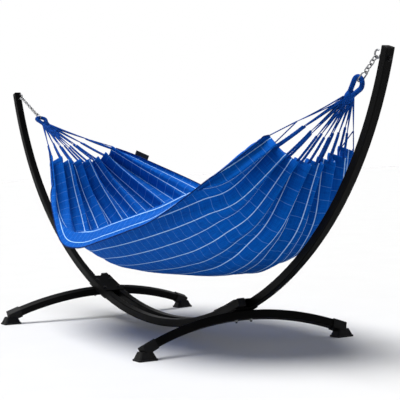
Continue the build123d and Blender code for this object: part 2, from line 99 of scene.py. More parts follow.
def smooth_through(knots, values, at):
    """A smooth curve through the values at the knots, without overshoot between close ones."""
    knots = np.asarray(knots, float)
    values = np.asarray(values, float)
    slopes = np.gradient(values, knots, axis=0)
    index = np.clip(np.searchsorted(knots, at, side="right") - 1, 0, len(knots) - 2)
    width = knots[index + 1] - knots[index]
    share = (at - knots[index]) / width
    if values.ndim > 1:
        share = share[:, None]
        width = width[:, None]
    h00 = 2 * share**3 - 3 * share**2 + 1
    h10 = share**3 - 2 * share**2 + share
    h01 = 3 * share**2 - 2 * share**3
    h11 = share**3 - share**2
    return (
        h00 * values[index]
        + h10 * width * slopes[index]
        + h01 * values[index + 1]
        + h11 * width * slopes[index + 1]
    )


def smooth_step(low, high, value):
    share = np.clip((value - low) / (high - low), 0.0, 1.0)
    return share * share * (3 - 2 * share)


def spaced_along(line, count):
    """The line again, with this many evenly spaced points."""
    travelled = travelled_along(line)
    at = np.linspace(0.0, travelled[-1], count)
    return np.stack([np.interp(at, travelled, line[:, k]) for k in range(3)], axis=1)


def carried_frames(line):
    """Two unit vectors square to the line at each point, carried along without twisting."""
    tangents = unit(np.gradient(line, axis=0))
    across = np.zeros_like(line)
    start = np.cross(tangents[0], UP if abs(tangents[0][2]) < 0.9 else ALONG)
    across[0] = unit(start)
    for index in range(1, len(line)):
        flat = across[index - 1] - tangents[index] * np.dot(across[index - 1], tangents[index])
        across[index] = unit(flat)
    return across, np.cross(tangents, across)


def tube_points(line, radius, sides):
    """Rings of points round the line, one ring for each of its points."""
    across, over = carried_frames(line)
    turns = np.linspace(0.0, 2 * math.pi, sides, endpoint=False)
    rings = []
    for point, a, b in zip(line, across, over):
        rings.append(point + radius * (np.outer(np.cos(turns), a) + np.outer(np.sin(turns), b)))
    return np.concatenate(rings)


def closed_tube_faces(rings, sides):
    """The quads round a tube and the two faces that close its ends."""
    count = rings * sides
    faces = grid_faces(rings, sides, closed=True)
    faces.append(tuple(reversed(range(sides))))
    faces.append(tuple(range(count - sides, count)))
    return faces


def travelled_along(line):
    """How far each point lies along the line."""
    steps = np.linalg.norm(np.diff(line, axis=0), axis=1)
    return np.concatenate([[0.0], np.cumsum(steps)])


class Shape:
    """Points and faces gathered from several closed tubes."""

    def __init__(self):
        self.points = []
        self.faces = []
        self.count = 0

    def add(self, points, faces):
        self.points.append(points)
        self.faces += [tuple(index + self.count for index in face) for face in faces]
        self.count += len(points)

    def add_tube(self, line, radius, sides):
        points = tube_points(line, radius, sides)
        self.add(points, closed_tube_faces(len(line), sides))

    def piece(self, name, material, slot):
        return mesh_piece(name, np.concatenate(self.points), self.faces, material)


# ---------------------------------------------------------------- material helpers
MIX_SHARE = 0  # the colour mix node's sockets
MIX_FIRST = 6
MIX_SECOND = 7
MIX_RESULT = 2


class Nodes:
    """A new material and short names for the few shader nodes used here."""

    def __init__(self, name):
        self.material = bpy.data.materials.new(name)
        self.material.use_nodes = True
        self.tree = self.material.node_tree
        self.shader = self.tree.nodes["Principled BSDF"]

    def new(self, kind, **settings):
        node = self.tree.nodes.new(kind)
        for key, value in settings.items():
            setattr(node, key, value)
        return node

    def link(self, output, target):
        self.tree.links.new(output, target)

    def set(self, **values):
        for key, value in values.items():
            self.shader.inputs[key.replace("_", " ")].default_value = value

    def math(self, operation, first, second=None):
        node = self.new("ShaderNodeMath", operation=operation)
        for socket, value in zip(node.inputs, (first, second)):
            if isinstance(value, (int, float)):
                socket.default_value = value
            elif value is not None:
                self.link(value, socket)
        return node.outputs[0]

    def noise(self, scale, detail, vector=None):
        node = self.new("ShaderNodeTexNoise")
        node.inputs["Scale"].default_value = scale
        node.inputs["Detail"].default_value = detail
        self.link(self.object_place() if vector is None else vector, node.inputs["Vector"])
        return node.outputs["Fac"]

    def object_place(self):
        return self.new("ShaderNodeTexCoord").outputs["Object"]

    def stretched(self, vector, scale):
        node = self.new("ShaderNodeMapping")
        node.inputs["Scale"].default_value = scale
        self.link(vector, node.inputs["Vector"])
        return node.outputs["Vector"]

    def ramp(self, value, low, high, dark, light):
        node = self.new("ShaderNodeMapRange")
        self.link(value, node.inputs["Value"])
        for key, number in (("From Min", low), ("From Max", high), ("To Min", dark), ("To Max", light)):
            node.inputs[key].default_value = number
        return node.outputs["Result"]

    def mix(self, share, first, second):
        """Two colours mixed by a share. The node's colour sockets go by number, not by name."""
        node = self.new("ShaderNodeMix", data_type="RGBA")
        self.link(share, node.inputs[MIX_SHARE])
        for number, value in ((MIX_FIRST, first), (MIX_SECOND, second)):
            socket = node.inputs[number]
            if isinstance(value, tuple):
                socket.default_value = (*value, 1.0)
            else:
                self.link(value, socket)
        return node.outputs[MIX_RESULT]

    def bump(self, height, distance, strength):
        node = self.new("ShaderNodeBump")
        node.inputs["Distance"].default_value = distance
        node.inputs["Strength"].default_value = strength
        self.link(height, node.inputs["Height"])
        self.link(node.outputs["Normal"], self.shader.inputs["Normal"])


def powder_coat():
    """Black powder coat: a fine orange-peel skin, a little lighter where it has rubbed."""
    nodes = Nodes("black_powder_coat")
    patches = nodes.noise(9.0, 4.0)
    rub = nodes.ramp(patches, 0.35, 0.75, 0.0, 1.0)
    colour = nodes.mix(rub, (0.0012, 0.0012, 0.0013), (0.0022, 0.0022, 0.0024))
    nodes.link(colour, nodes.shader.inputs["Base Color"])
    nodes.link(nodes.ramp(patches, 0.3, 0.7, 0.40, 0.52), nodes.shader.inputs["Roughness"])
    nodes.set(Specular_IOR_Level=0.05)
    nodes.bump(nodes.noise(1400.0, 2.0), 0.00015, 0.5)
    return nodes.material


def moulded_plastic():
    """Black moulded plastic with a spark-eroded grain."""
    nodes = Nodes("black_moulded_plastic")
    patches = nodes.noise(14.0, 3.0)
    colour = nodes.mix(patches, (0.002, 0.002, 0.0022), (0.004, 0.004, 0.0043))
    nodes.link(colour, nodes.shader.inputs["Base Color"])
    nodes.link(nodes.ramp(patches, 0.3, 0.7, 0.5, 0.66), nodes.shader.inputs["Roughness"])
    nodes.set(Specular_IOR_Level=0.14)
    nodes.bump(nodes.noise(2600.0, 1.0), 0.0001, 0.6)
    return nodes.material


def zinc(name, roughness, colour_dark, colour_light):
    """Bright zinc plating with a faint cloudy spangle and fine draw marks."""
    nodes = Nodes(name)
    cloud = nodes.noise(160.0, 3.0)
    colour = nodes.mix(cloud, colour_dark, colour_light)
    nodes.link(colour, nodes.shader.inputs["Base Color"])
    nodes.set(Metallic=1.0)
    low, high = roughness
    nodes.link(nodes.ramp(cloud, 0.3, 0.7, low, high), nodes.shader.inputs["Roughness"])
    nodes.bump(nodes.noise(2200.0, 2.0), 0.00005, 0.4)
    return nodes.material


STRIPE_PERIOD = 0.0665  # between the white lengthwise stripes
CROSS_PERIOD = 0.058  # between the pale cross stripes
STRIPE_WIDTH = 0.0030
CROSS_WIDTH = 0.0022
STRIPE_EDGE = 0.0006  # over which a stripe's edge fades into the blue
CROSS_EDGE = 0.0007
THREAD = 0.0016  # one thread of the weave


def stripe(nodes, coordinate, period, width, softness):
    """1 on thin lines a period apart and 0 between them."""
    phase = nodes.math("FRACT", nodes.math("DIVIDE", coordinate, period))
    away = nodes.math("MULTIPLY", nodes.math("ABSOLUTE", nodes.math("SUBTRACT", phase, 0.5)), period)
    return nodes.ramp(away, width / 2, width / 2 + softness, 1.0, 0.0)


def woven_cotton():
    """Royal blue cotton in a plain weave. Its UV map is the flat cut, in metres."""
    nodes = Nodes("blue_woven_cotton")
    place = nodes.new("ShaderNodeUVMap", uv_map="cloth").outputs["UV"]
    split = nodes.new("ShaderNodeSeparateXYZ")
    nodes.link(place, split.inputs["Vector"])
    across, along = split.outputs["X"], split.outputs["Y"]
    lengthwise = stripe(nodes, across, STRIPE_PERIOD, STRIPE_WIDTH, STRIPE_EDGE)
    crosswise = stripe(nodes, along, CROSS_PERIOD, CROSS_WIDTH, CROSS_EDGE)
    slub = nodes.noise(1.0, 3.0, nodes.stretched(place, (420.0, 16.0, 1.0)))
    cross_slub = nodes.noise(1.0, 3.0, nodes.stretched(place, (18.0, 380.0, 1.0)))
    threads = nodes.math("MULTIPLY", nodes.math("ADD", slub, cross_slub), 0.5)
    shade = nodes.ramp(threads, 0.36, 0.64, 0.0, 1.0)
    cloth = nodes.mix(shade, (0.0, 0.054, 0.30), (0.0, 0.105, 0.50))
    faint = nodes.math("MULTIPLY", crosswise, nodes.ramp(slub, 0.35, 0.65, 0.28, 0.62))
    cloth = nodes.mix(faint, cloth, (0.10, 0.26, 0.62))
    bright = nodes.math("MULTIPLY", lengthwise, nodes.ramp(cross_slub, 0.35, 0.65, 0.72, 1.0))
    cloth = nodes.mix(bright, cloth, (0.42, 0.68, 0.95))
    nodes.link(cloth, nodes.shader.inputs["Base Color"])
    nodes.set(Roughness=0.9, Specular_IOR_Level=0.08)
    warp = nodes.math("SINE", nodes.math("MULTIPLY", across, 2 * math.pi / THREAD))
    weft = nodes.math("SINE", nodes.math("MULTIPLY", along, 2 * math.pi / THREAD))
    weave = nodes.math("MULTIPLY", warp, weft)
    height = nodes.math("ADD", nodes.math("MULTIPLY", weave, 0.25), threads)
    nodes.bump(height, 0.0008, 0.5)
    return nodes.material


def cotton_cord(name, dark, light):
    """Twisted cotton cord: fine slanting fibres whose raised tops are painted lighter as a highlight,
    mixed with random lighter and darker patches.
    """
    nodes = Nodes(name)
    place = nodes.object_place()
    fibres = nodes.noise(1.0, 3.0, nodes.stretched(place, (700.0, 700.0, 700.0)))
    patches = nodes.noise(60.0, 2.0)
    # Painted highlight: the fibre heights that make the bump also lighten the colour on the raised tops,
    # and the patches add random tone.
    share = nodes.math("MULTIPLY", nodes.math("ADD", fibres, patches), 0.5)
    colour = nodes.mix(nodes.ramp(share, 0.38, 0.62, 0.0, 1.0), dark, light)
    nodes.link(colour, nodes.shader.inputs["Base Color"])
    nodes.set(Roughness=0.9, Specular_IOR_Level=0.1)
    nodes.bump(fibres, 0.0006, 0.6)
    return nodes.material


def label_cloth():
    """Blank dark woven tag with a fine rib."""
    nodes = Nodes("dark_label_cloth")
    place = nodes.object_place()
    rib = nodes.noise(1.0, 1.0, nodes.stretched(place, (300.0, 300.0, 2600.0)))
    colour = nodes.mix(rib, (0.002, 0.003, 0.007), (0.006, 0.008, 0.015))
    nodes.link(colour, nodes.shader.inputs["Base Color"])
    nodes.set(Roughness=0.8, Specular_IOR_Level=0.1)
    nodes.bump(rib, 0.0003, 0.6)
    return nodes.material


def pale_floor():
    nodes = Nodes("pale_floor")
    tone = nodes.noise(3.0, 2.0)
    nodes.link(nodes.mix(tone, (0.58, 0.58, 0.58), (0.61, 0.61, 0.61)), nodes.shader.inputs["Base Color"])
    nodes.set(Roughness=0.75)
    return nodes.material


COAT = powder_coat()
PLASTIC = moulded_plastic()
BRIGHT_ZINC = zinc("bright_zinc_wire", (0.2, 0.34), (0.13, 0.13, 0.14), (0.36, 0.37, 0.38))
BLACK_STEEL = zinc("black_oxide_steel", (0.35, 0.5), (0.012, 0.012, 0.013), (0.03, 0.03, 0.032))
BOLT_ZINC = zinc("zinc_bolts", (0.28, 0.45), (0.34, 0.34, 0.34), (0.52, 0.52, 0.51))
COTTON = woven_cotton()
CORD = cotton_cord("blue_cotton_cord", (0.0, 0.024, 0.15), (0.001, 0.060, 0.34))
DARK_CORD = cotton_cord("navy_cotton_cord", (0.0, 0.012, 0.08), (0.001, 0.03, 0.17))
LABEL = label_cloth()
SLOT_MATERIALS = {
    "powder_coat": COAT,
    "moulded_plastic": PLASTIC,
    "zinc_steel": BRIGHT_ZINC,
    "bolt_steel": BOLT_ZINC,
    "black_steel": BLACK_STEEL,
    "woven_cotton": COTTON,
    "cotton_cord": CORD,
    "label_cloth": LABEL,
}


def finish_cad_nodes():
    """Gives every CAD node its slot's material."""
    for part in frame["record"]["subparts"]:
        node = NODES[part["node"]]
        material = SLOT_MATERIALS[part["material_slot"]]
        if len(node.material_slots) == 0:
            node.data.materials.append(material)
        for place in node.material_slots:
            place.material = material


# ---------------------------------------------------------------- the cloth's hanging shape
# Shares of the CAD bed's box: along its length, across its half width (near side negative) and up
# its depth. The near rim hangs lower than the far one, and turns outward in a flap this wide in metres.
STATIONS = (0.0, 0.035, 0.08, 0.15, 0.30, 0.42, 0.58, 0.70, 0.81, 0.89, 0.95, 1.0)
NEAR_REACH = (0.41, 0.47, 0.54, 0.62, 0.75, 0.80, 0.87, 0.89, 0.89, 0.86, 0.72, 0.41)
NEAR_HEIGHT = (0.93, 0.77, 0.60, 0.48, 0.33, 0.35, 0.44, 0.52, 0.60, 0.69, 0.81, 1.04)
FAR_REACH = (0.43, 0.55, 0.68, 0.87, 1.02, 1.07, 1.06, 0.98, 0.86, 0.70, 0.56, 0.43)
FAR_HEIGHT = (1.01, 0.95, 0.87, 0.75, 0.57, 0.46, 0.45, 0.48, 0.55, 0.66, 0.79, 0.95)
FLOOR_HEIGHT = (0.88, 0.64, 0.44, 0.24, 0.05, 0.01, 0.01, 0.03, 0.09, 0.22, 0.46, 0.86)
FLOOR_REACH = (0.0, -0.03, -0.06, -0.12, -0.20, -0.18, -0.10, -0.06, -0.06, -0.05, -0.02, 0.0)
FLAP_WIDTH = (0.0, 0.0, 0.005, 0.03, 0.09, 0.12, 0.125, 0.125, 0.12, 0.09, 0.03, 0.0)
CLOTH_WIDTH = 1.20
ROWS = 261  # along the hammock
COLUMNS = 225  # across it
PLEATS = 7.5
RISE_POWER = 2.3  # how the sides climb from the floor of the bed to its rims
CLOTH_THICKNESS = 0.0012
SIDE_SAMPLES = 120  # points on each side of one section across the bed
FLAP_SAMPLES = 40
FLAP_TURN_RADIUS = 0.014  # the bend where the near rim turns outward
FLAP_LEAN = math.radians(46)  # how steeply the flap falls
SHORTEST_FLAP = 0.002


def section_curve(station):
    """Points across the bed at one place along it, from the near edge to the far edge."""
    near_y, near_z, far_y, far_z, floor_y, floor_z, flap = station
    near_share = np.linspace(1.0, 0.0, SIDE_SAMPLES)
    far_share = np.linspace(0.0, 1.0, SIDE_SAMPLES)[1:]
    near_side = np.stack(
        [
            floor_y - (near_y + floor_y) * near_share,
            floor_z + (near_z - floor_z) * near_share**RISE_POWER,
        ],
        axis=1,
    )
    far_side = np.stack(
        [
            floor_y + (far_y - floor_y) * far_share,
            floor_z + (far_z - floor_z) * far_share**RISE_POWER,
        ],
        axis=1,
    )
    curve = np.concatenate([near_side, far_side])
    if flap > SHORTEST_FLAP:
        turn_radius = min(FLAP_TURN_RADIUS, flap / 3)
        roll = np.linspace(0.0, 1.0, FLAP_SAMPLES)[:-1]
        rise = math.atan2(near_side[0, 1] - near_side[2, 1], near_side[2, 0] - near_side[0, 0])
        length = flap * (1 - roll)
        turning = np.clip(length / turn_radius, 0.0, rise + FLAP_LEAN)
        bent = turn_radius * (rise + FLAP_LEAN)
        straight = np.maximum(length - bent, 0.0)
        centre = near_side[0] + turn_radius * np.array([-math.sin(rise), -math.cos(rise)])
        angle = math.pi / 2 - rise + turning
        edge_y = centre[0] + turn_radius * np.cos(angle) - straight * math.cos(FLAP_LEAN)
        edge_z = centre[1] + turn_radius * np.sin(angle) - straight * math.sin(FLAP_LEAN)
        curve = np.concatenate([np.stack([edge_y, edge_z], axis=1), curve])
    return curve


def base_surface():
    """The smooth hanging surface, as a grid of rows along the hammock, and each row's length."""
    rows_at = np.linspace(0.0, 1.0, ROWS)
    profile = np.stack(
        [
            np.array(NEAR_REACH) * BED_HALF_WIDTH,
            BED_LOW[2] + np.array(NEAR_HEIGHT) * BED_DEPTH,
            np.array(FAR_REACH) * BED_HALF_WIDTH,
            BED_LOW[2] + np.array(FAR_HEIGHT) * BED_DEPTH,
            np.array(FLOOR_REACH) * BED_HALF_WIDTH,
            BED_LOW[2] + np.array(FLOOR_HEIGHT) * BED_DEPTH,
            np.array(FLAP_WIDTH),
        ],
        axis=1,
    )
    stations = smooth_through(STATIONS, profile, rows_at)
    grid = np.zeros((ROWS, COLUMNS, 3))
    lengths = np.zeros(ROWS)
    for row, station in enumerate(stations):
        curve = section_curve(station)
        travelled = travelled_along(curve)
        lengths[row] = travelled[-1]
        at = np.linspace(0.0, travelled[-1], COLUMNS)
        across = np.interp(at, travelled, curve[:, 0])
        height = np.interp(at, travelled, curve[:, 1])
        along = BED_LOW[0] + rows_at[row] * BED_LENGTH
        grid[row] = ALONG * along + np.outer(across, SIDEWAYS) + np.outer(height, UP)
    return grid, lengths


def evened_rows(grid):
    """Respaces each lengthwise line evenly, so that the cloth isn't bunched where it is steep."""
    even = np.zeros_like(grid)
    for column in range(grid.shape[1]):
        even[:, column] = spaced_along(grid[:, column], grid.shape[0])
    return even


def normals_of(grid):
    """The unit normal at each point of a grid."""
    along = np.gradient(grid, axis=0)
    across = np.gradient(grid, axis=1)
    return unit(np.cross(along, across))


def pleat_wave(phase):
    """A wave with straight flanks and round crests."""
    sharpness = 0.97
    return np.arcsin(sharpness * np.sin(phase)) / math.asin(sharpness)


PLEATS_FULL = 0.05  # share of the length from an end up to which the pleats keep their depth
PLEATS_GONE = 0.46
WRINKLE_HEIGHT = 0.004
EDGE_SHARE = 0.02  # of the width, along which the pleats grow from the rim
EDGE_DEPTH = 0.35  # share of a pleat's depth at the rim


def pleated(grid, lengths):
    """Folds the cloth near both ends, deep enough to hold its whole width in the narrow hem."""
    normals = normals_of(grid)
    share = np.linspace(0.0, 1.0, ROWS)[:, None]
    across = np.linspace(0.0, 1.0, COLUMNS)[None, :]
    gather = np.maximum(CLOTH_WIDTH / lengths, 1.0)[:, None]
    depth = lengths[:, None] / PLEATS / 4 * np.sqrt(gather**2 - 1)
    near_end = np.minimum(share, 1 - share)
    fade = 1 - smooth_step(PLEATS_FULL, PLEATS_GONE, near_end)
    # Away from the hems the pleats wander sideways and differ in depth.
    wander = 0.35 * np.sin(across * 9.0 + 1.3) + 0.22 * np.sin(across * 23.0 + share * 5.0)
    uneven = 1 + 0.22 * np.sin(across * 17.0 + 0.7) * smooth_step(0.0, 0.2, near_end)
    phase = 2 * math.pi * PLEATS * across + math.pi / 2 + wander * smooth_step(0.0, 0.3, near_end)
    edges = smooth_step(0.0, EDGE_SHARE, across) * smooth_step(0.0, EDGE_SHARE, 1 - across)
    height = depth * fade * uneven * pleat_wave(phase) * (EDGE_DEPTH + (1 - EDGE_DEPTH) * edges)
    wrinkles = WRINKLE_HEIGHT * fade * smooth_step(0.02, 0.12, near_end)
    wrinkles = wrinkles * np.sin(across * 120.0 + 3 * share)
    return grid + normals * (height + wrinkles)[..., None]


def hung_cloth():
    grid, lengths = base_surface()
    return pleated(evened_rows(grid), lengths)


CLOTH = hung_cloth()


def add_uv(piece, across, along):
    """The flat cut's own metres, for the weave and the stripes."""
    layer = piece.data.uv_layers.new(name="cloth")
    corner_points = np.zeros(len(piece.data.loops), np.int32)
    piece.data.loops.foreach_get("vertex_index", corner_points)
    places = np.stack([across[corner_points], along[corner_points]], axis=1)
    layer.data.foreach_set("uv", places.astype(np.float32).ravel())


def lengthwise_metres(grid):
    """How far each row lies along the flat cloth."""
    steps = np.linalg.norm(np.diff(grid, axis=0), axis=2).mean(axis=1)
    return np.concatenate([[0.0], np.cumsum(steps)])


def hammock_cloth():
    piece = mesh_piece(
        "hammock_cloth_sheet", CLOTH.reshape(-1, 3), grid_faces(ROWS, COLUMNS), COTTON
    )
    metres = lengthwise_metres(CLOTH)
    across = np.tile(np.linspace(0.0, CLOTH_WIDTH, COLUMNS), ROWS)
    along = np.repeat(metres, COLUMNS)
    add_uv(piece, across, along)
    solid = piece.modifiers.new("thickness", "SOLIDIFY")
    solid.thickness = CLOTH_THICKNESS
    solid.offset = 0.0
    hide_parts("hammock_cloth")
    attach(piece, HAMMOCK)
    return piece, metres[-1]


SHEET, CLOTH_LENGTH = hammock_cloth()


# ---------------------------------------------------------------- end hems
HEM_DEPTH = 0.030
HEM_THICKNESS = 0.0042
HEM_ROWS = 9
HEM_OVERHANG = 0.15  # in rows of the cloth's grid, past its end
SEAM_FROM_EDGE = 2.2  # in rows of the hem
SEAM_WIDTH = 0.7
SEAM_SINK = 0.45  # share of the thickness that the stitching pulls in


def shell_of(outer, inner, rows, columns):
    """A closed thin shell between two grids of the same size."""
    points = np.concatenate([outer.reshape(-1, 3), inner.reshape(-1, 3)])
    count = rows * columns
    faces = grid_faces(rows, columns)
    faces += [tuple(index + count for index in reversed(face)) for face in faces]
    for column in range(columns - 1):
        faces.append((column + 1, column, count + column, count + column + 1))
        last = (rows - 1) * columns + column
        faces.append((last, last + 1, count + last + 1, count + last))
    for row in range(rows - 1):
        first = row * columns
        faces.append((first, first + columns, count + first + columns, count + first))
        end = first + columns - 1
        faces.append((end + columns, end, count + end, count + end + columns))
    return points, faces


def end_hem(side_name, side):
    """The end's turned and stitched hem, a thicker band that follows every pleat."""
    step = CLOTH_LENGTH / (ROWS - 1)
    reach = HEM_DEPTH / step
    order = CLOTH if side < 0 else CLOTH[::-1]
    at = np.linspace(-HEM_OVERHANG, reach, HEM_ROWS)
    low = np.clip(np.floor(at).astype(int), 0, ROWS - 2)
    share = (at - low)[:, None, None]
    band = order[low] * (1 - share) + order[low + 1] * share
    normals = normals_of(band)
    profile = np.sin(np.linspace(0.12, math.pi - 0.25, HEM_ROWS)) ** 0.5
    from_seam = (np.arange(HEM_ROWS) - HEM_ROWS + SEAM_FROM_EDGE) / SEAM_WIDTH
    seam = 1 - SEAM_SINK * np.exp(-(from_seam**2))
    half = (HEM_THICKNESS / 2 * profile * seam)[:, None, None]
    points, faces = shell_of(band + normals * half, band - normals * half, HEM_ROWS, COLUMNS)
    piece = mesh_piece(f"{side_name}_end_hem_band", points, faces, COTTON)
    across = np.tile(np.linspace(0.0, CLOTH_WIDTH, COLUMNS), 2 * HEM_ROWS)
    start = 0.0 if side < 0 else CLOTH_LENGTH
    along = np.tile(np.repeat(start - side * np.clip(at, 0, None) * step, COLUMNS), 2)
    add_uv(piece, across, along)
    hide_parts(f"{side_name}_end_hem")
    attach(piece, HAMMOCK)
    return piece


RIM_RADIUS = 0.0028
RIM_OUTSET = 0.0005  # outwards from the cloth's edge
RIM_POINTS = 420
RIM_SIDES = 8


def rim_roll(name, column, outwards):
    """The narrow rolled hem along a long edge."""
    line = CLOTH[:, column] + outwards * SIDEWAYS * RIM_OUTSET
    shape = Shape()
    shape.add_tube(spaced_along(line, RIM_POINTS), RIM_RADIUS, RIM_SIDES)
    piece = shape.piece(name, DARK_CORD, "woven_cotton")
    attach(piece, HAMMOCK)
    return piece


# ---------------------------------------------------------------- loops, whippings and cords
def pull_frame(side_name):
    """The whipping's middle and the direction to it from the carabiner."""
    binding = middle(f"{side_name}_whipping")
    direction = unit(binding - middle(f"{side_name}_carabiner"))
    return binding, direction


CORD_RIDGE = 0.0013  # how far the wound cord's turns stand out


def wound_tube(line, radius, pitch, sides, flatten=None):
    """A tube with the ridges of a cord wound tightly round it."""
    travelled = travelled_along(line)
    across, over = carried_frames(line)
    turns = np.linspace(0.0, 2 * math.pi, sides, endpoint=False)
    rings = []
    for index, point in enumerate(line):
        phase = 2 * math.pi * travelled[index] / pitch + turns
        swell = radius[index] + CORD_RIDGE * (np.abs(np.cos(phase / 2)) - 0.6)
        wide, thin = (1.0, 1.0) if flatten is None else flatten[index]
        ring = np.outer(np.cos(turns) * swell * wide, across[index])
        ring += np.outer(np.sin(turns) * swell * thin, over[index])
        rings.append(point + ring)
    points = np.concatenate(rings)
    return points, closed_tube_faces(len(line), sides)


LOOP_ROPE_RADIUS = 0.0092
LOOP_BEND_RADIUS = 0.024
LOOP_NECK = 0.050  # from the bend's middle to where the legs meet
LOOP_LEG = 0.0086  # half the distance between the legs there
LOOP_OFFSET = 0.0125  # from there to the whipping's middle
LOOP_TUCK = 0.008  # how far the legs run on into the whipping
LOOP_SPREAD = 0.05  # a CAD loop wider than this lies across the hammock
LOOP_TURN = 0.0036  # pitch of the cord wound round the rope
LOOP_ARC_POINTS = 60
LOOP_POINTS = 520
LOOP_SIDES = 18


def loop_line(side_name):
    """The rope's middle line, fitted into the CAD loop: a drop whose legs meet at the whipping."""
    binding, direction = pull_frame(side_name)
    low, high = (np.array(corner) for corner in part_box(f"{side_name}_end_loop"))
    size = high - low
    across = SIDEWAYS if size[1] > LOOP_SPREAD else np.cross(SIDEWAYS, direction)
    bend_middle = binding - direction * (LOOP_NECK + LOOP_OFFSET)
    reach = math.hypot(LOOP_NECK, LOOP_LEG)
    turn = math.atan2(LOOP_LEG, LOOP_NECK) + math.acos(LOOP_BEND_RADIUS / reach)
    angles = np.linspace(turn, 2 * math.pi - turn, LOOP_ARC_POINTS)
    arc = np.outer(np.cos(angles), direction) + np.outer(np.sin(angles), across)
    arc = bend_middle + LOOP_BEND_RADIUS * arc
    start = bend_middle + direction * (LOOP_NECK + LOOP_TUCK) + across * LOOP_LEG
    end = bend_middle + direction * (LOOP_NECK + LOOP_TUCK) - across * LOOP_LEG
    return spaced_along(np.concatenate([[start], arc, [end]]), LOOP_POINTS)


def end_loop(side_name):
    line = loop_line(side_name)
    radius = np.full(len(line), LOOP_ROPE_RADIUS)
    points, faces = wound_tube(line, radius, LOOP_TURN, LOOP_SIDES)
    piece = mesh_piece(f"{side_name}_bound_loop", points, faces, CORD)
    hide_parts(f"{side_name}_end_loop")
    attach(piece, HAMMOCK)


WHIPPING_LENGTH = 0.030
WHIPPING_RADIUS = 0.0165
WHIPPING_SWELL = 0.0022  # it is thicker in the middle
WHIPPING_TAPER = 0.001  # and thinner towards the cords
WHIPPING_TURN = 0.0030  # pitch of its turns
WHIPPING_POINTS = 160
WHIPPING_SIDES = 28


def whipping(side_name):
    """The cord wound over the loop's legs and the strings, flatter towards the strings."""
    binding, direction = pull_frame(side_name)
    share = np.linspace(0.0, 1.0, WHIPPING_POINTS)
    line = binding + np.outer((share - 0.5) * WHIPPING_LENGTH, direction)
    radius = WHIPPING_RADIUS + WHIPPING_SWELL * np.sin(share * math.pi) - WHIPPING_TAPER * share
    flat = [(1.08 + 0.1 * s, 0.98 - 0.2 * s) for s in share]
    points, faces = wound_tube(line, radius, WHIPPING_TURN, WHIPPING_SIDES, flat)
    piece = mesh_piece(f"{side_name}_cord_whipping", points, faces, CORD)
    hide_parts(f"{side_name}_whipping")
    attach(piece, HAMMOCK)


BUNDLES = 15  # one at each crest and each hollow of the pleats
FORK = 0.56  # the bundles part into strings this far from the hem towards the whipping
OUTER_FORK = 0.40
BUNDLE_RADIUS = 0.0052
BUNDLE_PITCH = 0.05  # one turn of its strands
OUTER_RADIUS = 0.0028
OUTER_PITCH = 0.016
OUTER_FEET = 10  # grid columns between an outer bundle's two feet
STRINGS = 5
STRING_RADIUS = 0.0015
STRING_SIDES = 6
STRAND_SHARE = 0.62  # a strand's radius over its bundle's
NECK_OFFSET = 0.008  # from the whipping's middle to where the strings enter it
NECK_REACH = 0.021  # how far to each side of the neck the strings enter
NECK_AIM = 0.022  # and how far to each side the bundles point


def sagging_line(start, end, sag, count):
    share = np.linspace(0.0, 1.0, count)
    line = start + np.outer(share, end - start)
    return line - np.outer(4 * sag * share * (1 - share), UP)


def twisted(shape, line, radius, strands, pitch):
    """Strands wound round each other along the line."""
    travelled = travelled_along(line)
    across, over = carried_frames(line)
    strand_radius = radius * STRAND_SHARE
    for strand in range(strands):
        angle = 2 * math.pi * (travelled / pitch + strand / strands)
        offset = across * np.cos(angle)[:, None] + over * np.sin(angle)[:, None]
        shape.add_tube(line + offset * (radius - strand_radius), strand_radius, STRING_SIDES)


def suspension_cords(side_name, side):
    """Bundles of twisted string from the hem, each parting into strings that cross to the neck."""
    binding, direction = pull_frame(side_name)
    random = np.random.default_rng(7 if side < 0 else 11)
    row = CLOTH[0] if side < 0 else CLOTH[-1]
    inner_row = CLOTH[4] if side < 0 else CLOTH[-5]
    neck = binding + direction * NECK_OFFSET
    neck_over = np.cross(SIDEWAYS, direction)
    shape = Shape()
    forks = []
    for number in range(BUNDLES):
        column = int(round((0.008 + 0.984 * number / (BUNDLES - 1)) * (COLUMNS - 1)))
        hem_point = row[column] * 0.75 + inner_row[column] * 0.25
        share = (number / (BUNDLES - 1) - 0.5) * 2
        outer = number in (0, BUNDLES - 1)
        target = neck + SIDEWAYS * share * NECK_AIM
        fork_at = OUTER_FORK if outer else FORK * (0.72 + 0.1 * random.random())
        fork = hem_point + (target - hem_point) * fork_at
        forks.append((fork, share))
        if outer:
            neighbour = column + (OUTER_FEET if number == 0 else -OUTER_FEET)
            for foot in (row[column], row[neighbour]):
                twisted(shape, sagging_line(foot, fork, 0.0, 30), OUTER_RADIUS, 2, OUTER_PITCH)
        else:
            line = sagging_line(hem_point, fork, 0.002, 44)
            twisted(shape, line, BUNDLE_RADIUS, 4, BUNDLE_PITCH)
    for fork, share in forks:
        for string in range(STRINGS):
            crossing = (string - 2) * 0.17 + (0.34 if string % 2 else -0.34) * 0.5
            place = np.clip(share + crossing * (1 - 0.4 * abs(share)), -1.05, 1.05)
            depth = (string % 2 - 0.5) * 0.012 + 0.003 * (random.random() - 0.5)
            end = neck + SIDEWAYS * place * NECK_REACH + neck_over * depth
            sag = 0.0015 + 0.002 * random.random()
            shape.add_tube(sagging_line(fork, end, sag, 16), STRING_RADIUS, STRING_SIDES)
    piece = shape.piece(f"{side_name}_cord_fan", CORD, "cotton_cord")
    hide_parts(f"{side_name}_suspension_cords")
    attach(piece, HAMMOCK)


TAG_LENGTH = 0.078
TAG_HEIGHT = 0.026
TAG_TUCK = 0.12  # share of its height that is sewn under the rim
TAG_BULGE = 0.0016
TAG_THICKNESS = 0.0016
TAG_ROWS = 9
TAG_COLUMNS = 25


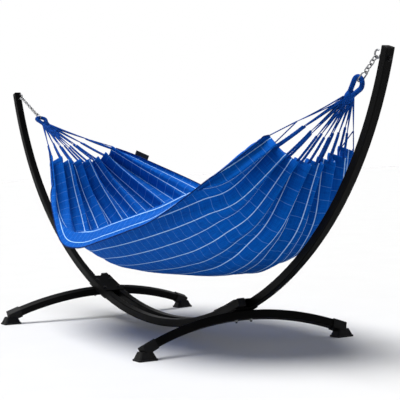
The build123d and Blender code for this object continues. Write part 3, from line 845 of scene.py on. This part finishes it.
def label_tag():
    """A blank tag sewn into the far edge."""
    edge = CLOTH[:, -1]
    centre = middle("label_tag")
    nearest = int(np.argmin(np.abs(edge[:, 0] - centre[0])))
    travelled = np.linalg.norm(edge - edge[nearest], axis=1) * np.sign(np.arange(ROWS) - nearest)
    at = np.linspace(-TAG_LENGTH / 2, TAG_LENGTH / 2, TAG_COLUMNS)
    foot = np.stack([np.interp(at, travelled, edge[:, k]) for k in range(3)], axis=1)
    lean = unit(UP * 0.92 + SIDEWAYS * 0.38)
    share = np.linspace(-TAG_TUCK, 1.0, TAG_ROWS)[:, None, None]
    rise = np.sin(np.linspace(0, math.pi, TAG_ROWS))
    bulge = np.outer(rise, np.cos(at / TAG_LENGTH * 5)) * TAG_BULGE
    face = foot[None] + lean * TAG_HEIGHT * share + SIDEWAYS * bulge[..., None]
    normals = normals_of(face)
    half = TAG_THICKNESS / 2
    points, faces = shell_of(face + normals * half, face - normals * half, TAG_ROWS, TAG_COLUMNS)
    piece = mesh_piece("blank_label_tag", points, faces, LABEL)
    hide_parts("label_tag")
    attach(piece, HAMMOCK)
    return piece


finish_cad_nodes()
HEMS = [end_hem(name, side) for name, side in ENDS.items()]
RIMS = [rim_roll("near_rim_roll", 0, -1), rim_roll("far_rim_roll", COLUMNS - 1, 1)]
TAG = label_tag()
for side_name, side in ENDS.items():
    end_loop(side_name)
    whipping(side_name)
    suspension_cords(side_name, side)


# ---------------------------------------------------------------- floor, light and camera
FLOOR_REACH_FROM_MIDDLE = 30.0


def add_floor():
    half = FLOOR_REACH_FROM_MIDDLE
    points = [(-half, -half, 0.0), (half, -half, 0.0), (half, half, 0.0), (-half, half, 0.0)]
    mesh = bpy.data.meshes.new("floor")
    mesh.from_pydata(points, [], [(0, 1, 2, 3)])
    floor = bpy.data.objects.new("floor", mesh)
    bpy.context.scene.collection.objects.link(floor)
    mesh.materials.append(pale_floor())


def add_area_light(name, place, aim, size, power):
    light = bpy.data.lights.new(name, "AREA")
    light.shape = "DISK"
    light.size = size
    light.energy = power
    lamp = bpy.data.objects.new(name, light)
    bpy.context.scene.collection.objects.link(lamp)
    lamp.location = place
    lamp.rotation_euler = (Vector(aim) - Vector(place)).to_track_quat("-Z", "Y").to_euler()


def add_soft_sun(name, place, strength, angle):
    """A very wide, even light from this direction."""
    light = bpy.data.lights.new(name, "SUN")
    light.energy = strength
    light.angle = math.radians(angle)
    lamp = bpy.data.objects.new(name, light)
    bpy.context.scene.collection.objects.link(lamp)
    lamp.location = place
    lamp.rotation_euler = Vector(place).to_track_quat("Z", "Y").to_euler()


def add_world():
    """White round the horizon and dimmer overhead and below, so that the lamps shape the folds."""
    world = bpy.data.worlds.new("studio")
    world.use_nodes = True
    tree = world.node_tree
    place = tree.nodes.new("ShaderNodeTexCoord")
    split = tree.nodes.new("ShaderNodeSeparateXYZ")
    tree.links.new(place.outputs["Generated"], split.inputs["Vector"])
    rise = tree.nodes.new("ShaderNodeMath")
    rise.operation = "ABSOLUTE"
    tree.links.new(split.outputs["Z"], rise.inputs[0])
    tone = tree.nodes.new("ShaderNodeMapRange")
    tree.links.new(rise.outputs[0], tone.inputs["Value"])
    tone.interpolation_type = "SMOOTHSTEP"
    for key, value in (("From Min", 0.16), ("From Max", 0.5), ("To Min", 1.0), ("To Max", 0.16)):
        tone.inputs[key].default_value = value
    tree.nodes["Background"].inputs["Color"].default_value = (1.0, 1.0, 1.0, 1.0)
    tree.links.new(tone.outputs["Result"], tree.nodes["Background"].inputs["Strength"])
    bpy.context.scene.world = world


CAMERA_PLACE = (5.000, -2.762, 0.812)
CAMERA_YAW = 59.4
CAMERA_PITCH = -2.3
CAMERA_ROLL = -1.6
SENSOR = 36.0
LENS = 114.2


def add_camera():
    data = bpy.data.cameras.new("camera")
    data.sensor_width = SENSOR
    data.lens = LENS
    data.clip_end = 200.0
    camera = bpy.data.objects.new("camera", data)
    bpy.context.scene.collection.objects.link(camera)
    yaw, pitch, roll = (math.radians(a) for a in (CAMERA_YAW, CAMERA_PITCH, CAMERA_ROLL))
    forward = Vector((-math.sin(yaw) * math.cos(pitch), math.cos(yaw) * math.cos(pitch), math.sin(pitch)))
    level_right = Vector((math.cos(yaw), math.sin(yaw), 0.0))
    level_up = level_right.cross(forward)
    right = level_right * math.cos(roll) + level_up * math.sin(roll)
    up = level_up * math.cos(roll) - level_right * math.sin(roll)
    turn = Matrix((right, up, -forward)).transposed()
    camera.matrix_world = Matrix.Translation(CAMERA_PLACE) @ turn.to_4x4()
    bpy.context.scene.camera = camera


bpy.context.scene.view_settings.view_transform = "Standard"
add_floor()
add_world()
add_soft_sun("overhead", place=(-0.9, -1.0, 4.4), strength=4.7, angle=45.0)
add_area_light("front_fill", place=(3.8, -4.6, 2.6), aim=(0.2, 0.0, 0.5), size=2.5, power=12.0)
add_camera()
